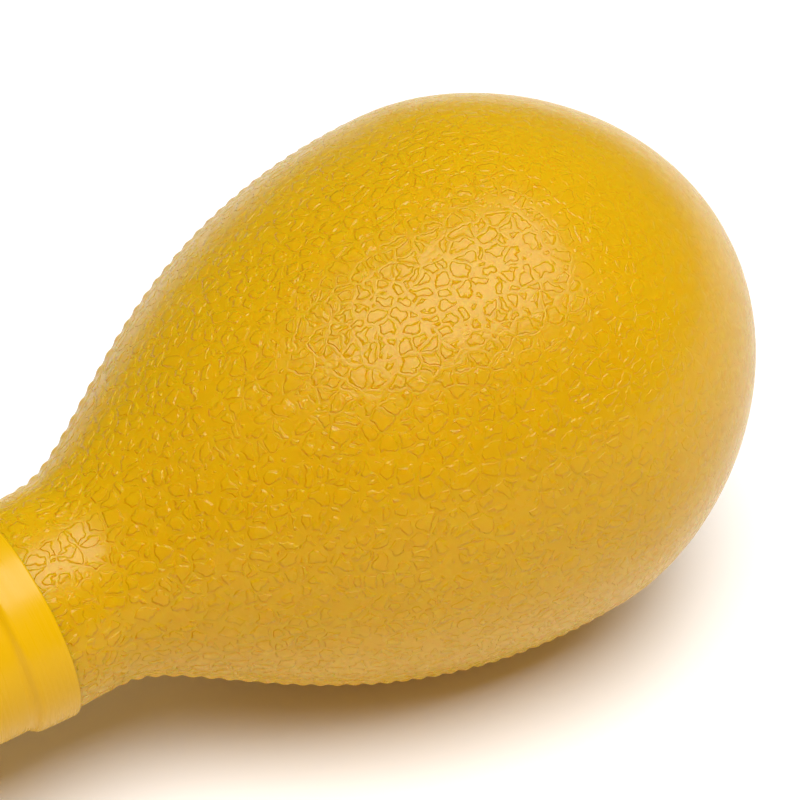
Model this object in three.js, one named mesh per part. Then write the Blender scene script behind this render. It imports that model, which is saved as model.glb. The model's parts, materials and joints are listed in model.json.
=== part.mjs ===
// A plastic maraca lying on its side: an egg-shaped blow-moulded head with loose steel shot in it,
// a stopper in its neck, and a hollow moulded handle with a collar, a grip and a domed end cap.
// Units are millimetres, +Z is up, the floor is z = 0, and the handle-to-head axis leans up along +X.
//
// Every turned piece is drawn as an outline of (radius, station). A station is a distance along the
// maraca's axis: 0 at the collar's rim, positive towards the head's tip, negative towards the butt.
import * as THREE from "three";

// Driving dimensions
const headRadius = 38;
const widestStation = 72.7;
const tipLength = 39.1;
const neckRadius = 14.2;
const neckLength = 7.2;
const headWall = 1.6;

// How far the egg's curves run straight before they bend: out of the neck, into the widest ring from
// the neck's side, out of it towards the tip, and across the tip.
const neckPull = 10.2;
const bellyPull = 39.2;
const crownPull = 16;
const tipPull = 22.5;

const spigotRadius = 12.4;
const spigotLength = 15;
const seatDepth = 1;

const rimRadius = 14.8;
const rimEdge = 0.25;
const handleLength = 138;
const handleWall = 2;
const capLength = 8.7;
const buttFaceRadius = 7;

const shotRadius = 2.25;
const shotCount = 40;
const shotPitch = 5.2;

const fitGap = 0.25;
const shotGap = 0.4;

// How finely the turned shapes are cut: sides round the axis, and steps along the egg's two curves.
const turnSides = 48;
const outerSteps = { shoulder: 14, crown: 9 };
const innerSteps = { shoulder: 12, crown: 12 };
const roomSteps = { shoulder: 40, crown: 40 };

// How often a search halves the stretch that holds its answer.
const halvings = 40;

const deepYellow = 0xe0a80a;
const brightYellow = 0xf2b705;
const milkyWhite = 0xd8d6cc;
const steelGrey = 0xb4b6b8;
const satin = 0.5;
const glossy = 0.25;

const materials = {
  head: new THREE.MeshStandardMaterial({ color: deepYellow, roughness: satin, metalness: 0 }),
  handle: new THREE.MeshStandardMaterial({ color: brightYellow, roughness: glossy, metalness: 0 }),
  stopper: new THREE.MeshStandardMaterial({ color: milkyWhite, roughness: satin, metalness: 0 }),
  shot: new THREE.MeshStandardMaterial({ color: steelGrey, roughness: glossy, metalness: 1 }),
};

const point = (radius, station) => new THREE.Vector2(radius, station);

// The points of a curve between two outline points, pulled by a handle at each end.
function curveBetween(from, fromHandle, toHandle, to, steps) {
  return new THREE.CubicBezierCurve(from, fromHandle, toHandle, to).getPoints(steps);
}

// A closed turned piece from an outline that starts and ends on the axis, or closes on itself.
function turned(name, outline, material) {
  const mesh = new THREE.Mesh(new THREE.LatheGeometry(outline, turnSides), material);
  mesh.name = name;
  return mesh;
}

// ---- Head ----

// The egg from its neck to its tip. An inset draws the same egg that much further in.
function eggOutline(inset, steps) {
  const neck = neckRadius - inset;
  const belly = headRadius - inset;
  const tip = widestStation + tipLength - inset;
  const tighter = belly / headRadius;
  const widest = point(belly, widestStation);
  const shoulder = curveBetween(
    point(neck, neckLength),
    point(neck, neckLength + neckPull),
    point(belly, widestStation - bellyPull),
    widest,
    steps.shoulder,
  );
  const crown = curveBetween(
    widest,
    point(belly, widestStation + crownPull * tighter),
    point(tipPull * tighter, tip),
    point(0, tip),
    steps.crown,
  );
  return [...shoulder, ...crown.slice(1)];
}

// The neck steps in at the collar's rim and goes on as a narrower spigot inside the handle.
function headShell() {
  const stepUp = headWall - seatDepth;
  const outline = [
    ...eggOutline(headWall, innerSteps).reverse(),
    point(neckRadius - headWall, stepUp + neckRadius - spigotRadius),
    point(spigotRadius - headWall, stepUp),
    point(spigotRadius - headWall, -spigotLength),
    point(spigotRadius, -spigotLength),
    point(spigotRadius, -seatDepth),
    point(neckRadius, -seatDepth),
    ...eggOutline(0, outerSteps),
  ];
  return turned("head_shell", outline, materials.head);
}

// A cup pressed into the neck from the handle's side, with a flange against the spigot's end.
function neckPlug() {
  const skirt = spigotRadius - headWall - fitGap;
  const wall = 1.4;
  const flange = 1.2;
  const skirtLength = 12;
  const back = -spigotLength - fitGap;
  const top = back + skirtLength;
  const outline = [
    point(0, top - wall),
    point(skirt - wall, top - wall),
    point(skirt - wall, back - flange),
    point(spigotRadius - fitGap, back - flange),
    point(spigotRadius - fitGap, back),
    point(skirt, back),
    point(skirt, top - wall / 2),
    point(skirt - wall / 2, top),
    point(0, top),
  ];
  return turned("neck_plug", outline, materials.stopper);
}

// ---- Handle ----

const bandEnd = point(14.5, -4.7);
const stepSteps = 4;

// The grip's knots from the foot of the collar's step to the end of the tube, with the points that
// pull its curve as it arrives at and leaves each one.
const gripKnots = [
  { at: point(13.6, -7.2), leave: point(13, -20), steps: 8 },
  { arrive: point(10.3, -32), at: point(10.3, -46), leave: point(10.3, -68), steps: 8 },
  { arrive: point(12.6, -90), at: point(12.6, -112), leave: point(12.6, -118), steps: 2 },
  { arrive: point(12.4, -124), at: point(12.2, capLength - handleLength) },
];
const tubeEnd = gripKnots.at(-1).at;

// The grip's outline, drawn further in by an inset, with a coarseness of 1 or more.
function gripOutline(inset, coarseness) {
  const inward = (place) => point(place.x - inset, place.y);
  const outline = [inward(gripKnots[0].at)];
  for (let i = 1; i < gripKnots.length; i++) {
    const from = gripKnots[i - 1];
    const to = gripKnots[i];
    const places = [from.at, from.leave, to.arrive, to.at].map(inward);
    const steps = Math.ceil(from.steps / coarseness);
    outline.push(...curveBetween(...places, steps).slice(1));
  }
  return outline;
}

// The band at the mouth, and the soft step down behind it to the foot of the grip.
function collarOutline() {
  const stepFoot = gripKnots[0].at;
  const step = curveBetween(bandEnd, point(14.44, -5.7), point(13.66, -6.2), stepFoot, stepSteps);
  return [point(rimRadius - rimEdge, 0), point(rimRadius, -rimEdge), ...step.slice(0, -1)];
}

// The socket takes the head's spigot and the stopper's flange, and a lip covers the foot of the neck.
function handle() {
  const lip = neckRadius + fitGap;
  const socket = spigotRadius + fitGap;
  const lipDepth = -seatDepth - fitGap;
  const flangeRoom = 2;
  const socketEnd = -spigotLength - flangeRoom;
  const bore = gripOutline(handleWall, 2).filter((place) => place.y < socketEnd).reverse();
  const outline = [
    ...collarOutline(),
    ...gripOutline(0, 1),
    ...bore,
    point(bore.at(-1).x, socketEnd),
    point(socket, socketEnd),
    point(socket, lipDepth),
    point(lip, lipDepth),
    point(lip, 0),
    point(rimRadius - rimEdge, 0),
  ];
  return turned("handle", outline.reverse(), materials.handle);
}

// A domed end with a flat butt face, and a hollow spigot pressed into the tube.
function endCap() {
  const seat = tubeEnd.y - fitGap;
  const spigot = tubeEnd.x - handleWall - fitGap;
  const spigotWall = 1.5;
  const spigotReach = 9;
  const spigotEnd = tubeEnd.y + spigotReach;
  const butt = -handleLength;
  const domeSteps = 7;
  const sideTaper = 0.2;
  const sidePull = 4.5;
  const facePull = 3;
  const dome = curveBetween(
    point(tubeEnd.x, seat),
    point(tubeEnd.x - sideTaper, seat - sidePull),
    point(buttFaceRadius + facePull, butt),
    point(buttFaceRadius, butt),
    domeSteps,
  );
  const outline = [
    point(0, butt),
    ...dome.reverse(),
    point(spigot, seat),
    point(spigot, spigotEnd),
    point(spigot - spigotWall, spigotEnd),
    point(spigot - spigotWall, seat),
    point(0, seat),
  ];
  return turned("end_cap", outline, materials.handle);
}

// ---- How it lies ----

// How far an outline reaches below the axis when the axis leans up by the tilt, seen at station 0.
function reachBelow(outline, tilt) {
  return Math.max(...outline.map((p) => p.x * Math.cos(tilt) - p.y * Math.sin(tilt)));
}

// The lean at which the head's belly and the handle's end touch the floor together.
function restingTilt() {
  const head = eggOutline(0, outerSteps);
  const grip = gripOutline(0, 1);
  let low = 0;
  let high = Math.PI / 8;
  for (let pass = 0; pass < halvings; pass++) {
    const tilt = (low + high) / 2;
    if (reachBelow(head, tilt) > reachBelow(grip, tilt)) low = tilt;
    else high = tilt;
  }
  return (low + high) / 2;
}

const tilt = restingTilt();
const rimHeight = reachBelow(eggOutline(0, outerSteps), tilt);

// ---- Shot ----

// Where a ball's centre may go: inside the chamber by the ball's radius and a gap.
const roomInset = headWall + shotGap + shotRadius;
const room = eggOutline(roomInset, roomSteps);

// The room's radius at a station, or 0 outside it.
function roomRadius(station) {
  const next = room.findIndex((place) => place.y > station);
  if (next < 1) return 0;
  const before = room[next - 1];
  const after = room[next];
  return THREE.MathUtils.mapLinear(station, before.y, after.y, before.x, after.x);
}

function isInRoom(x, y, z) {
  const up = z - rimHeight;
  const station = x * Math.cos(tilt) + up * Math.sin(tilt);
  const across = up * Math.cos(tilt) - x * Math.sin(tilt);
  return Math.hypot(across, y) < roomRadius(station);
}

// The height at which the room ends, straight down or up from a point inside it.
function roomEdge(x, y, inside, outside) {
  for (let pass = 0; pass < halvings; pass++) {
    const middle = (inside + outside) / 2;
    if (isInRoom(x, y, middle)) inside = middle;
    else outside = middle;
  }
  return inside;
}

// Resting places for the balls, side by side in a close-packed layer, lowest first.
function restingPlaces() {
  const centreX = widestStation * Math.cos(tilt);
  const centreZ = rimHeight + widestStation * Math.sin(tilt);
  const rowPitch = shotPitch * Math.sqrt(0.75);
  const rows = Math.ceil(headRadius / rowPitch);
  const aboveHead = rimHeight + 2 * headRadius;
  const places = [];
  for (let row = -rows; row <= rows; row++) {
    for (let column = -rows; column <= rows; column++) {
      const x = centreX + row * rowPitch;
      const y = (column + (row % 2) / 2) * shotPitch;
      if (!isInRoom(x, y, centreZ)) continue;
      const z = roomEdge(x, y, centreZ, 0);
      const top = roomEdge(x, y, centreZ, aboveHead);
      places.push({ x, y, z, travel: top - z });
    }
  }
  return places.sort((a, b) => a.z - b.z || a.x - b.x || a.y - b.y).slice(0, shotCount);
}

// Each ball notes how far it can fly straight up before it meets the wall.
function shotBalls() {
  const geometry = new THREE.IcosahedronGeometry(shotRadius, 1);
  return restingPlaces().map((place, index) => {
    const ball = new THREE.Mesh(geometry, materials.shot);
    ball.name = "shot_" + String(index + 1).padStart(2, "0");
    ball.position.set(place.x, place.y, place.z);
    ball.userData.travel = place.travel;
    return ball;
  });
}

// ---- Assembly ----

// A lathe turns about Y, so the turned pieces are laid along X and then leaned up by the tilt.
const onAxis = new THREE.Group();
onAxis.rotation.set(0, -tilt, -Math.PI / 2);
onAxis.position.z = rimHeight;
onAxis.add(headShell(), neckPlug(), handle(), endCap());

const maraca = new THREE.Group();
maraca.add(onAxis, ...shotBalls());

// The origin is on the floor, under the middle of the whole object.
const extent = new THREE.Box3().setFromObject(maraca, true);
maraca.position.x = -(extent.min.x + extent.max.x) / 2;

export default maraca;
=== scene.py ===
import json
import math
import bpy
from mathutils import Matrix, Vector


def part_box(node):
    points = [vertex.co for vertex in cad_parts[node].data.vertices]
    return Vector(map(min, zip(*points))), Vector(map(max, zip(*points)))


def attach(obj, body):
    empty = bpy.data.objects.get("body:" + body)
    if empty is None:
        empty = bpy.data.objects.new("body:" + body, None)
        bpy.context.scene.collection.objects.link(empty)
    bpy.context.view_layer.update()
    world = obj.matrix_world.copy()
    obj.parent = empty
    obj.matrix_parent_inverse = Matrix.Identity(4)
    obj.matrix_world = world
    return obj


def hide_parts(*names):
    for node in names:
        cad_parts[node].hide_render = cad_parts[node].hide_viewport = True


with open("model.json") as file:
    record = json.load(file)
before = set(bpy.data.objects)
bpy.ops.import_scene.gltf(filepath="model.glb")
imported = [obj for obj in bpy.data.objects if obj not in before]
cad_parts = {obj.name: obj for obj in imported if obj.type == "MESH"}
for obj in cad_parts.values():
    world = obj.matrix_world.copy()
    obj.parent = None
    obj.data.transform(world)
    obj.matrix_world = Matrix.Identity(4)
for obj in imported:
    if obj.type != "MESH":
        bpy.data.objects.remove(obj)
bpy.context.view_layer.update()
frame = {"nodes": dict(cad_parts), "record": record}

mm = 0.001
bpy.ops.object.select_all(action="DESELECT")
print("frame loaded with", len(frame["nodes"]), "nodes")

# The maraca's own line: station 0 at the collar's rim, up to the head's tip and down to the butt.
# Outlines are stations and radii in millimetres. Other lengths on the maraca are in metres.
handleLength = 138
butt = frame["record"]["mounts"][0]
axisDirection = -Vector(butt["axis"])
rimCentre = Vector(butt["pos_m"]) + axisDirection * (handleLength * mm)
lean = math.asin(axisDirection.z)
onAxis = Matrix.Translation(rimCentre) @ Matrix.Rotation(-lean, 4, "Y")
offAxis = onAxis.inverted()


# Node helpers: each adds one node to a tree.
def addNode(tree, kind, inputs=None, **settings):
    node = tree.nodes.new(kind)
    for name, value in settings.items():
        setattr(node, name, value)
    for name, value in (inputs or {}).items():
        if isinstance(value, bpy.types.NodeSocket):
            tree.links.new(value, node.inputs[name])
        else:
            node.inputs[name].default_value = value
    return node


def maths(tree, operation, first, second=0.0):
    return addNode(tree, "ShaderNodeMath", {0: first, 1: second}, operation=operation).outputs[0]


def times(tree, first, second):
    return maths(tree, "MULTIPLY", first, second)


def vectorMaths(tree, operation, first, second=(0, 0, 0)):
    return addNode(tree, "ShaderNodeVectorMath", {0: first, 1: second}, operation=operation).outputs[0]


def scaled(tree, vector, factor):
    inputs = {0: vector, "Scale": factor}
    return addNode(tree, "ShaderNodeVectorMath", inputs, operation="SCALE").outputs[0]


def dot(tree, first, second):
    inputs = {0: first, 1: second}
    return addNode(tree, "ShaderNodeVectorMath", inputs, operation="DOT_PRODUCT").outputs["Value"]


# A soft step between two values.
def remap(tree, value, fromMin, fromMax, toMin=0.0, toMax=1.0):
    spans = {"Value": value, "From Min": fromMin, "From Max": fromMax, "To Min": toMin, "To Max": toMax}
    return addNode(tree, "ShaderNodeMapRange", spans, interpolation_type="SMOOTHSTEP").outputs[0]


def noise(tree, place, scale, detail=1.0, roughness=0.5):
    inputs = {"Vector": place, "Scale": scale, "Detail": detail, "Roughness": roughness}
    return addNode(tree, "ShaderNodeTexNoise", inputs)


def stretched(tree, place, scale):
    return addNode(tree, "ShaderNodeMapping", {"Vector": place, "Scale": scale}).outputs[0]


# Places along the maraca's line, whichever way it lies: x is the station.
def stationPlace(tree):
    seen = addNode(tree, "ShaderNodeTexCoord").outputs["Object"]
    turn = {"Vector": seen, "Location": offAxis.to_translation(), "Rotation": offAxis.to_euler()}
    return addNode(tree, "ShaderNodeMapping", turn).outputs[0]


# Finishes: a bump from a height in metres, a drift between two colours and one between two roughnesses.
def newMaterial(name):
    material = bpy.data.materials.new(name)
    material.use_nodes = True
    tree = material.node_tree
    shader = tree.nodes["Principled BSDF"]
    return material, tree, shader


def bumpBy(tree, shader, height):
    bump = addNode(tree, "ShaderNodeBump", {"Strength": 1.0, "Distance": 1.0, "Height": height})
    tree.links.new(bump.outputs[0], shader.inputs["Normal"])


def tint(tree, shader, drift, colours):
    colour = addNode(tree, "ShaderNodeMix", {"Factor": drift}, data_type="RGBA")
    colour.inputs["A"].default_value = (*colours[0], 1)
    colour.inputs["B"].default_value = (*colours[1], 1)
    tree.links.new(colour.outputs["Result"], shader.inputs["Base Color"])


def gloss(tree, shader, drift, roughnesses):
    low, high = 0.3, 0.7  # a noise mostly stays between these
    tree.links.new(remap(tree, drift, low, high, *roughnesses), shader.inputs["Roughness"])


# Outlines: stretches of Bezier curve, each one a start, two pulls, an end and a number of steps.
def at(station, radius):
    return Vector((station * mm, 0, radius * mm))


def straight(*places):
    return [(first, first, second, second, 1) for first, second in zip(places, places[1:])]


def bow(start, leave, arrive, end, steps):
    return [(start, leave, arrive, end, steps)]


def rounded(start, corner, end, steps=5):
    pull = 0.55
    return bow(start, start.lerp(corner, pull), end.lerp(corner, pull), end, steps)


# Draws an outline and turns it about the maraca's line into a closed mesh.
def turned(name, outline, sides):
    bpy.ops.curve.primitive_bezier_curve_add()
    line = bpy.context.object
    line.name = name
    line.data.splines.clear()
    for start, leave, arrive, end, steps in outline:
        spline = line.data.splines.new("BEZIER")
        spline.bezier_points.add(1)
        spline.resolution_u = steps
        ends = ((start, start, leave), (end, arrive, end))
        for knot, (place, left, right) in zip(spline.bezier_points, ends):
            knot.handle_left_type = "FREE"
            knot.handle_right_type = "FREE"
            knot.co = place
            knot.handle_left = left
            knot.handle_right = right
    bpy.ops.object.convert(target="MESH")
    piece = bpy.context.object
    joinDistance = 0.002 * mm
    bpy.ops.object.mode_set(mode="EDIT")
    bpy.ops.mesh.select_all(action="SELECT")
    bpy.ops.mesh.remove_doubles(threshold=joinDistance)
    bpy.ops.object.mode_set(mode="OBJECT")
    lathe = piece.modifiers.new("lathe", "SCREW")
    lathe.axis = "X"
    lathe.steps = sides
    lathe.render_steps = sides
    lathe.use_merge_vertices = True
    lathe.merge_threshold = joinDistance
    bpy.ops.object.modifier_apply(modifier=lathe.name)
    bpy.ops.object.mode_set(mode="EDIT")
    bpy.ops.mesh.select_all(action="SELECT")
    bpy.ops.mesh.remove_doubles(threshold=joinDistance)
    bpy.ops.mesh.normals_make_consistent(inside=False)
    bpy.ops.object.mode_set(mode="OBJECT")
    return piece


# Shades a turned piece and moves its mesh to where the maraca lies.
def layDown(piece, smoothAngle=35):
    bpy.ops.object.select_all(action="DESELECT")
    piece.select_set(True)
    bpy.context.view_layer.objects.active = piece
    bpy.ops.object.shade_smooth_by_angle(angle=math.radians(smoothAngle))
    piece.data.transform(onAxis)
    piece.select_set(False)


def finishPiece(piece, material, body, node):
    piece.data.materials.clear()
    piece.data.materials.append(material)
    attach(piece, body)
    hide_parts(node)


# The head: a thin blow-moulded egg whose neck goes on as a spigot inside the handle.
head = {
    "radius": 38, "widest": 72.7, "tip": 111.8, "neckRadius": 14.2, "neckLength": 7.2, "wall": 1.6,
    "neckPulls": (2, 4), "shoulderPull": 10.2, "bellyPull": 39.2, "crownPull": 16, "tipPull": 22.5,
    "spigotRadius": 12.4, "spigotLength": 15, "seatDepth": 1,
    "sides": 360, "neckSteps": 20, "outerSteps": (162, 40), "innerSteps": (16, 10), "smoothAngle": 70,
    "colours": ((0.49, 0.290, 0.0003), (0.53, 0.318, 0.0005)), "cloudScale": 60,
    "roughness": (0.24, 0.30), "roughScale": 400, "peelScale": 2600, "peelHeight": 0.006 * mm,
    "specular": 0.20, "scatter": (1.0, 0.45, 0.05), "scatterDepth": 2.5 * mm,
}

# Its grain: flat pebbles with sunk channels between them. The mesh takes the pressed share of the depth
# with soft walls, and the material makes up the rest with crisp ones.
grain = {
    "cellsPerMetre": 470, "stretch": (0.88, 1.05, 1.05), "level": 0.15, "crisp": 0.055, "soft": 0.20,
    "depth": 0.20 * mm, "pressed": 0.4,
    "warpScale": 590, "warp": 1.4 * mm, "unevenScale": 820, "uneven": 0.34,
    "mouth": -0.8 * mm, "fadeStart": 52 * mm, "fadeEnd": 98 * mm, "leftAtTip": 0.10, "facing": (0.1, 0.3),
}

# Where the two halves of its mould met: a scalloped bead on both sides, in one plane through the line.
seam = {
    "turn": math.radians(45.3), "pitch": 2.12 * mm, "height": 0.38 * mm, "sunk": 0.08 * mm,
    "halfWidth": 1.3 * mm, "land": 2.6 * mm, "start": 3 * mm, "full": 9 * mm, "thins": 93.6 * mm,
    "end": 104 * mm,
}


def eggStretches(inset, steps):
    neck = head["neckRadius"] - inset
    belly = head["radius"] - inset
    tip = head["tip"] - inset
    tighter = belly / head["radius"]
    neckEnd = head["neckLength"]
    shoulder = bow(
        at(neckEnd, neck), at(neckEnd + head["shoulderPull"], neck),
        at(head["widest"] - head["bellyPull"], belly), at(head["widest"], belly), steps[0])
    crown = bow(
        at(head["widest"], belly), at(head["widest"] + head["crownPull"] * tighter, belly),
        at(tip, head["tipPull"] * tighter), at(tip, 0), steps[1])
    return shoulder + crown


def headOutline():
    neck, wall, seat = head["neckRadius"], head["wall"], head["seatDepth"]
    spigot, depth, neckEnd = head["spigotRadius"], head["spigotLength"], head["neckLength"]
    stepUp = wall - seat
    leave, arrive = head["neckPulls"]
    neckSkin = bow(at(-seat, neck), at(leave, neck), at(arrive, neck), at(neckEnd, neck), head["neckSteps"])
    outside = neckSkin + eggStretches(0, head["outerSteps"])
    foot = straight(
        at(-seat, neck), at(-seat, spigot), at(-depth, spigot), at(-depth, spigot - wall),
        at(stepUp, spigot - wall), at(stepUp + neck - spigot, neck - wall), at(neckEnd, neck - wall))
    return outside + foot + eggStretches(wall, head["innerSteps"])


# Low in the channels and higher towards the middle of each pebble.
def pebbles(tree, place):
    swirl = noise(tree, place, grain["warpScale"]).outputs["Color"]
    swirl = scaled(tree, vectorMaths(tree, "SUBTRACT", swirl, (0.5, 0.5, 0.5)), grain["warp"])
    bent = vectorMaths(tree, "MULTIPLY", vectorMaths(tree, "ADD", place, swirl), grain["stretch"])
    cells = addNode(tree, "ShaderNodeTexVoronoi", {"Vector": bent, "Scale": grain["cellsPerMetre"]},
                    feature="DISTANCE_TO_EDGE").outputs["Distance"]
    uneven = noise(tree, place, grain["unevenScale"]).outputs["Fac"]
    uneven = times(tree, maths(tree, "SUBTRACT", uneven, 0.5), grain["uneven"])
    return maths(tree, "ADD", cells, uneven)


# 0 on a pebble and 1 in the channels, with walls as steep as the ramp is short.
def grainSink(tree, pattern, ramp):
    return remap(tree, pattern, grain["level"] - ramp, grain["level"] + ramp, 1.0, 0.0)


def stationOf(tree, place):
    return addNode(tree, "ShaderNodeSeparateXYZ", {0: place}).outputs["X"]


def seamDistance(tree, place):
    across = (0, -math.sin(seam["turn"]), math.cos(seam["turn"]))
    return maths(tree, "ABSOLUTE", dot(tree, place, across))


# The grain starts at the collar, dies away over the crown and leaves a smooth land beside the seam.
def grainFade(tree, place):
    station = stationOf(tree, place)
    crown = remap(tree, station, grain["fadeStart"], grain["fadeEnd"], 1.0, grain["leftAtTip"])
    mouth = remap(tree, station, grain["mouth"], 0.0)
    land = remap(tree, seamDistance(tree, place), seam["halfWidth"], seam["land"])
    return times(tree, times(tree, crown, mouth), land)


# The bead is round lobes with sharp notches between them, all the same length along the line.
def seamHeight(tree, place):
    station = stationOf(tree, place)
    lobes = maths(tree, "SINE", times(tree, station, math.pi / seam["pitch"]))
    lobes = maths(tree, "ABSOLUTE", lobes)
    bead = remap(tree, seamDistance(tree, place), 0.0, seam["halfWidth"], 1.0, 0.0)
    starting = remap(tree, station, seam["start"], seam["full"])
    ending = remap(tree, station, seam["thins"], seam["end"], 1.0, 0.0)
    lift = maths(tree, "SUBTRACT", times(tree, lobes, seam["height"]), seam["sunk"])
    return times(tree, times(tree, lift, bead), times(tree, starting, ending))


# Presses the grain and the seam into the mesh, which first notes where each point was before that.
def pressGrain(piece):
    tree = bpy.data.node_groups.new("leather_grain_relief", "GeometryNodeTree")
    tree.interface.new_socket("Geometry", in_out="INPUT", socket_type="NodeSocketGeometry")
    tree.interface.new_socket("Geometry", in_out="OUTPUT", socket_type="NodeSocketGeometry")
    entry = tree.nodes.new("NodeGroupInput")
    place = addNode(tree, "GeometryNodeInputPosition").outputs[0]
    normal = addNode(tree, "GeometryNodeInputNormal").outputs[0]
    note = {"Geometry": entry.outputs[0], "Name": "mouldedAt", "Value": place}
    noted = addNode(tree, "GeometryNodeStoreNamedAttribute", note, data_type="FLOAT_VECTOR",
                    domain="POINT")
    # the inside of the wall faces the line and stays smooth
    outward = vectorMaths(tree, "NORMALIZE", vectorMaths(tree, "MULTIPLY", place, (0, 1, 1)))
    onSkin = remap(tree, dot(tree, outward, normal), *grain["facing"])
    sink = grainSink(tree, pebbles(tree, place), grain["soft"])
    sink = times(tree, times(tree, sink, grainFade(tree, place)), grain["depth"] * grain["pressed"])
    rise = times(tree, maths(tree, "SUBTRACT", seamHeight(tree, place), sink), onSkin)
    shift = {"Geometry": noted.outputs[0], "Offset": scaled(tree, normal, rise)}
    moved = addNode(tree, "GeometryNodeSetPosition", shift)
    leave = tree.nodes.new("NodeGroupOutput")
    tree.links.new(moved.outputs[0], leave.inputs[0])
    relief = piece.modifiers.new("grain", "NODES")
    relief.node_group = tree
    bpy.ops.object.modifier_apply(modifier=relief.name)


def headPlastic():
    material, tree, shader = newMaterial("grained_yellow_plastic")
    place = addNode(tree, "ShaderNodeAttribute", attribute_name="mouldedAt").outputs["Vector"]
    pattern = pebbles(tree, place)
    crisp = grainSink(tree, pattern, grain["crisp"])
    pressed = times(tree, grainSink(tree, pattern, grain["soft"]), grain["pressed"])
    rest = times(tree, maths(tree, "SUBTRACT", pressed, crisp), grainFade(tree, place))
    peel = noise(tree, place, head["peelScale"], detail=2.0).outputs["Fac"]
    cloud = noise(tree, place, head["cloudScale"], detail=3.0).outputs["Fac"]
    rough = noise(tree, place, head["roughScale"], detail=3.0).outputs["Fac"]
    walls = times(tree, rest, grain["depth"])
    bumpBy(tree, shader, maths(tree, "ADD", walls, times(tree, peel, head["peelHeight"])))
    tint(tree, shader, cloud, head["colours"])
    gloss(tree, shader, rough, head["roughness"])
    shader.inputs["IOR"].default_value = 1.5
    shader.inputs["Specular IOR Level"].default_value = head["specular"]
    shader.inputs["Subsurface Weight"].default_value = 1.0
    shader.inputs["Subsurface Radius"].default_value = head["scatter"]
    shader.inputs["Subsurface Scale"].default_value = head["scatterDepth"]
    return material


grainedHead = turned("grained_head", headOutline(), head["sides"])
pressGrain(grainedHead)
layDown(grainedHead, head["smoothAngle"])
finishPiece(grainedHead, headPlastic(), "maraca", "head_shell")
print("head:", len(grainedHead.data.polygons), "faces")


# The handle: a glossy tube with a collar band, a soft step, a waisted grip and a socket for the neck.
handle = {
    "rimRadius": 14.8, "rimEdge": 0.3, "bandEnd": (-4.7, 14.5),
    "stepFoot": (-7.2, 13.6), "waist": (-46, 10.3), "swell": (-112, 12.6), "tubeEnd": (-129.3, 12.2),
    "bandPulls": ((-2, 14.72), (-3.5, 14.6)), "stepPulls": ((-5.9, 14.5), (-5.7, 13.5)),
    "taperPulls": ((-20, 13), (-32, 10.3)), "risePulls": ((-68, 10.3), (-90, 12.6)),
    "finishPulls": ((-118, 12.6), (-124, 12.4)), "borePulls": ((-24, 10.2), (-32, 8.3)), "wall": 2,
    "lipRadius": 14.45, "socketRadius": 12.65, "lipDepth": 1.25, "socketEnd": -17, "boreMouth": 10.7,
    "sides": 256, "gripSteps": 44, "boreSteps": 20, "bandSteps": 16, "stepSteps": 18,
    "colours": ((0.53, 0.312, 0.0004), (0.57, 0.340, 0.0007)), "cloudScale": 50,
    "roughness": (0.20, 0.36), "ringScale": (1500, 60, 60), "ringHeight": 0.018 * mm,
    "peelScale": 900, "peelHeight": 0.006 * mm, "specular": 0.18,
}


# A bow between two of the handle's places, drawn in by the inset.
def handleBow(start, pulls, end, steps, inset=0):
    places = (handle[start], *handle[pulls], handle[end])
    return bow(*(at(station, radius - inset) for station, radius in places), steps)


# The grip's three stretches: in to the waist, out to the swell, and on to the end of the tube.
def gripStretches(inset, steps):
    taper = handleBow("stepFoot", "taperPulls", "waist", steps, inset)
    rise = handleBow("waist", "risePulls", "swell", steps, inset)
    finish = handleBow("swell", "finishPulls", "tubeEnd", steps // 2, inset)
    return taper + rise + finish


# The rim's rounded edge, the band at the mouth and the step behind it.
def collarStretches():
    rim, edge = handle["rimRadius"], handle["rimEdge"]
    mouth = rounded(at(-edge, rim), at(0, rim), at(0, rim - edge))
    leave, arrive = handle["bandPulls"]
    band = bow(at(-edge, rim), at(*leave), at(*arrive), at(*handle["bandEnd"]), handle["bandSteps"])
    step = handleBow("bandEnd", "stepPulls", "stepFoot", handle["stepSteps"])
    return mouth + band + step


def handleOutline():
    rim, edge, wall = handle["rimRadius"], handle["rimEdge"], handle["wall"]
    lip, depth, socket = handle["lipRadius"], handle["lipDepth"], handle["socketRadius"]
    end, boreMouth = handle["socketEnd"], handle["boreMouth"]
    tubeEnd, tubeRadius = handle["tubeEnd"]
    waist, waistRadius = handle["waist"]
    leave, arrive = handle["borePulls"]
    tubeMouth = straight(at(tubeEnd, tubeRadius), at(tubeEnd, tubeRadius - wall))
    socketWall = straight(
        at(0, rim - edge), at(0, lip), at(-depth, lip), at(-depth, socket), at(end, socket),
        at(end, boreMouth))
    bore = bow(
        at(end, boreMouth), at(*leave), at(*arrive), at(waist, waistRadius - wall), handle["boreSteps"])
    bore += gripStretches(wall, handle["boreSteps"])[1:]
    return collarStretches() + gripStretches(0, handle["gripSteps"]) + tubeMouth + socketWall + bore


def handlePlastic():
    material, tree, shader = newMaterial("glossy_yellow_plastic")
    place = stationPlace(tree)
    around = stretched(tree, place, handle["ringScale"])
    rings = noise(tree, around, 1.0, detail=3.0, roughness=0.6).outputs["Fac"]
    peel = noise(tree, place, handle["peelScale"], detail=2.0).outputs["Fac"]
    cloud = noise(tree, place, handle["cloudScale"], detail=3.0).outputs["Fac"]
    ridges = times(tree, rings, handle["ringHeight"])
    bumpBy(tree, shader, maths(tree, "ADD", ridges, times(tree, peel, handle["peelHeight"])))
    tint(tree, shader, cloud, handle["colours"])
    gloss(tree, shader, rings, handle["roughness"])
    shader.inputs["Specular IOR Level"].default_value = handle["specular"]
    return material


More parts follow.
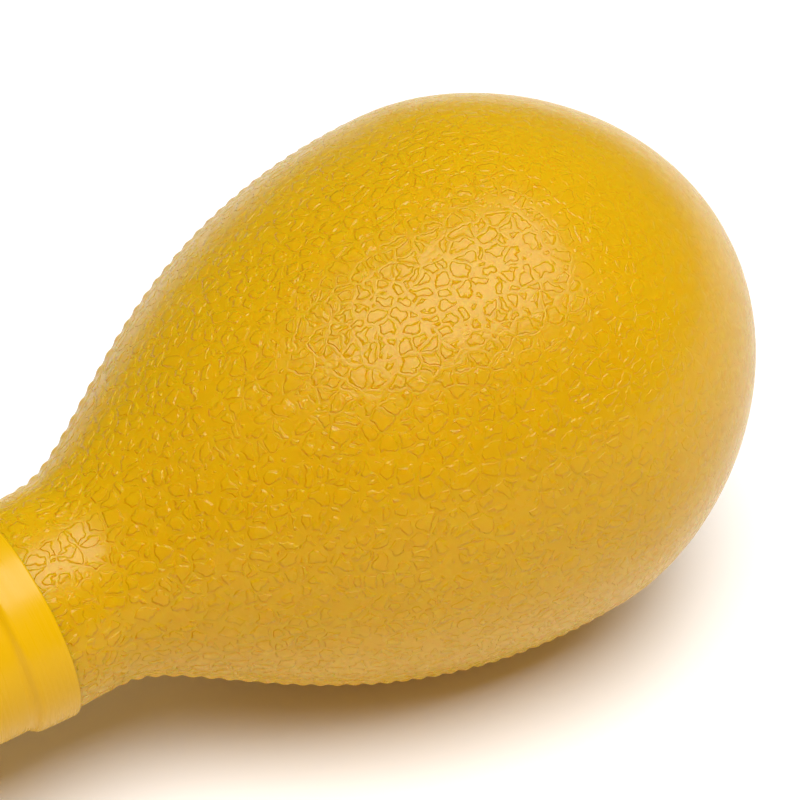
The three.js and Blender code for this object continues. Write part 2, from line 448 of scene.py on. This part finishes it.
glossYellow = handlePlastic()
mouldedHandle = turned("moulded_handle", handleOutline(), handle["sides"])
layDown(mouldedHandle)
finishPiece(mouldedHandle, glossYellow, "maraca", "handle")
print("handle:", len(mouldedHandle.data.polygons), "faces")


# The butt cap: a domed end with a spigot pressed into the tube.
cap = {
    "seat": -129.55, "rim": 12.2, "spigot": 9.95, "spigotWall": 1.5, "spigotEnd": -120.3, "face": 7,
    "sideTaper": 0.2, "sidePull": 4.5, "facePull": 3, "domeSteps": 40,
}


def capOutline():
    seat, rim, spigot, wall = cap["seat"], cap["rim"], cap["spigot"], cap["spigotWall"]
    end, face, buttEnd = cap["spigotEnd"], cap["face"], -handleLength
    dome = bow(
        at(seat, rim), at(seat - cap["sidePull"], rim - cap["sideTaper"]),
        at(buttEnd, face + cap["facePull"]), at(buttEnd, face), cap["domeSteps"])
    inside = straight(
        at(seat, rim), at(seat, spigot), at(end, spigot), at(end, spigot - wall),
        at(seat, spigot - wall), at(seat, 0))
    return dome + straight(at(buttEnd, face), at(buttEnd, 0)) + inside


buttCap = turned("butt_cap", capOutline(), handle["sides"])
layDown(buttCap)
finishPiece(buttCap, glossYellow, "maraca", "end_cap")
print("butt cap:", len(buttCap.data.polygons), "faces")


# The stopper: a cup pressed into the neck, with a flange against the spigot's end.
stopper = {
    "skirt": 10.55, "wall": 1.4, "flange": 1.2, "flangeRadius": 12.15, "back": -15.25, "length": 12,
    "sides": 128, "colours": ((0.66, 0.65, 0.59), (0.76, 0.75, 0.70)), "mottleScale": 300,
    "roughness": (0.42, 0.55), "fineScale": 2500, "fineHeight": 0.01 * mm,
}


def stopperOutline():
    skirt, wall, back = stopper["skirt"], stopper["wall"], stopper["back"]
    flange = stopper["flangeRadius"]
    top = back + stopper["length"]
    foot = back - stopper["flange"]
    skirtTop = at(top - wall / 2, skirt)
    crownEdge = at(top, skirt - wall / 2)
    outside = straight(at(foot, flange), at(back, flange), at(back, skirt), skirtTop)
    crown = rounded(skirtTop, at(top, skirt), crownEdge) + straight(crownEdge, at(top, 0))
    cup = straight(
        at(foot, flange), at(foot, skirt - wall), at(top - wall, skirt - wall), at(top - wall, 0))
    return outside + crown + cup


def stopperPlastic():
    material, tree, shader = newMaterial("milky_stopper_plastic")
    place = stationPlace(tree)
    mottle = noise(tree, place, stopper["mottleScale"], detail=3.0).outputs["Fac"]
    fine = noise(tree, place, stopper["fineScale"], detail=2.0).outputs["Fac"]
    bumpBy(tree, shader, times(tree, fine, stopper["fineHeight"]))
    tint(tree, shader, mottle, stopper["colours"])
    gloss(tree, shader, fine, stopper["roughness"])
    return material


neckStopper = turned("neck_stopper", stopperOutline(), stopper["sides"])
layDown(neckStopper)
finishPiece(neckStopper, stopperPlastic(), "maraca", "neck_plug")
print("stopper:", len(neckStopper.data.polygons), "faces")


# The shot: loose steel balls in the head, tumbled a little out of round and each one turned its own way.
shot = {
    "count": 40, "radius": 2.25 * mm, "dent": 0.03 * mm, "subdivisions": 3, "turn": 2.4,
    "colours": ((0.40, 0.40, 0.41), (0.62, 0.62, 0.63)), "roughness": (0.18, 0.4),
    "scuffScale": 1500, "scuffStretch": (1, 1, 3), "scuffHeight": 0.008 * mm,
}


def shotSteel():
    material, tree, shader = newMaterial("tumbled_steel")
    place = addNode(tree, "ShaderNodeTexCoord").outputs["Object"]
    along = stretched(tree, place, shot["scuffStretch"])
    scuff = noise(tree, along, shot["scuffScale"], detail=4.0, roughness=0.6).outputs["Fac"]
    bumpBy(tree, shader, times(tree, scuff, shot["scuffHeight"]))
    tint(tree, shader, scuff, shot["colours"])
    gloss(tree, shader, scuff, shot["roughness"])
    shader.inputs["Metallic"].default_value = 1.0
    return material


def firstBall():
    smooth = shot["radius"] - shot["dent"]
    bpy.ops.mesh.primitive_ico_sphere_add(subdivisions=shot["subdivisions"], radius=smooth)
    ball = bpy.context.object
    lumps = bpy.data.textures.new("shot_lumps", "CLOUDS")
    lumps.noise_scale = shot["radius"]
    tumbled = ball.modifiers.new("tumbled", "DISPLACE")
    tumbled.texture = lumps
    tumbled.strength = shot["dent"]
    bpy.ops.object.modifier_apply(modifier=tumbled.name)
    bpy.ops.object.shade_smooth()
    ball.select_set(False)
    return ball


# A copy of the pattern, where its node rests.
def restingBall(pattern, number, node):
    low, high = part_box(node)
    ball = pattern.copy()
    ball.data = pattern.data.copy()
    ball.name = f"steel_shot_{number:02d}"
    bpy.context.scene.collection.objects.link(ball)
    spin = Matrix.Rotation(shot["turn"] * number, 4, Vector((1, number % 3, number % 5)))
    ball.data.transform(Matrix.Translation((low + high) / 2) @ spin)
    return ball


steel = shotSteel()
pattern = firstBall()
for number in range(1, shot["count"] + 1):
    node = f"shot_{number:02d}"
    finishPiece(restingBall(pattern, number, node), steel, node, node)
bpy.data.objects.remove(pattern)
print("shot:", shot["count"], "balls")


# The studio: a pale floor, a white softbox overhead and a weak warm bounce from the front, which stands
# in for the light that the thin yellow wall lets through.
studio = {
    "floorSize": 40, "floorWhite": 0.86, "floorRoughness": 0.9, "floorSpecular": 0.1,
    "roomColour": (1.0, 0.88, 0.72, 1), "roomStrength": 0.18,
}

# Each lamp: the way to it from the collar, how far, its width and depth, its power and its colour.
softboxes = {
    "overhead_softbox": ((-0.02, -0.25, 0.96), 4.0, (3.4, 3.1), 265, (1, 1, 1)),
    "warm_bounce": ((-0.40, -0.80, 0.42), 1.5, (1.2, 0.8), 4.8, (1, 0.42, 0.05)),
}

# The camera looks down on the head from the handle's side.
view = {
    "azimuth": math.radians(-34.416), "elevation": math.radians(36.834), "distance": 381.35 * mm,
    "lens": 126, "sensor": 36, "nearest": 0.01, "aimStation": 59.8, "aimShift": Vector((0, 0.8, 0.7)) * mm,
}


def paleFloor():
    bpy.ops.mesh.primitive_plane_add(size=studio["floorSize"])
    floor = bpy.context.object
    floor.name = "pale_floor"
    material, tree, shader = newMaterial("pale_floor")
    white = studio["floorWhite"]
    shader.inputs["Base Color"].default_value = (white, white, white, 1)
    shader.inputs["Roughness"].default_value = studio["floorRoughness"]
    shader.inputs["Specular IOR Level"].default_value = studio["floorSpecular"]
    floor.data.materials.append(material)


def softbox(name, toward, distance, size, power, colour):
    lamp = bpy.data.lights.new(name, "AREA")
    lamp.energy = power
    lamp.color = colour
    lamp.shape = "RECTANGLE"
    lamp.size, lamp.size_y = size
    holder = bpy.data.objects.new(name, lamp)
    bpy.context.scene.collection.objects.link(holder)
    direction = Vector(toward).normalized()
    holder.location = rimCentre + direction * distance
    holder.rotation_euler = direction.to_track_quat("Z", "Y").to_euler()


def roomLight():
    world = bpy.data.worlds.new("white_room")
    bpy.context.scene.world = world
    world.use_nodes = True
    background = world.node_tree.nodes["Background"]
    background.inputs["Color"].default_value = studio["roomColour"]
    background.inputs["Strength"].default_value = studio["roomStrength"]


def addCamera():
    azimuth, elevation = view["azimuth"], view["elevation"]
    flat = math.cos(elevation)
    back = Vector((math.sin(azimuth) * flat, -math.cos(azimuth) * flat, math.sin(elevation)))
    aim = onAxis @ at(view["aimStation"], 0) + view["aimShift"]
    lens = bpy.data.cameras.new("camera")
    lens.lens = view["lens"]
    lens.sensor_width = view["sensor"]
    lens.clip_start = view["nearest"]
    camera = bpy.data.objects.new("camera", lens)
    camera.location = aim + back * view["distance"]
    camera.rotation_euler = (-back).to_track_quat("-Z", "Y").to_euler()
    bpy.context.scene.collection.objects.link(camera)
    bpy.context.scene.camera = camera


paleFloor()
for name, settings in softboxes.items():
    softbox(name, *settings)
roomLight()
addCamera()
bpy.context.scene.view_settings.view_transform = "Standard"
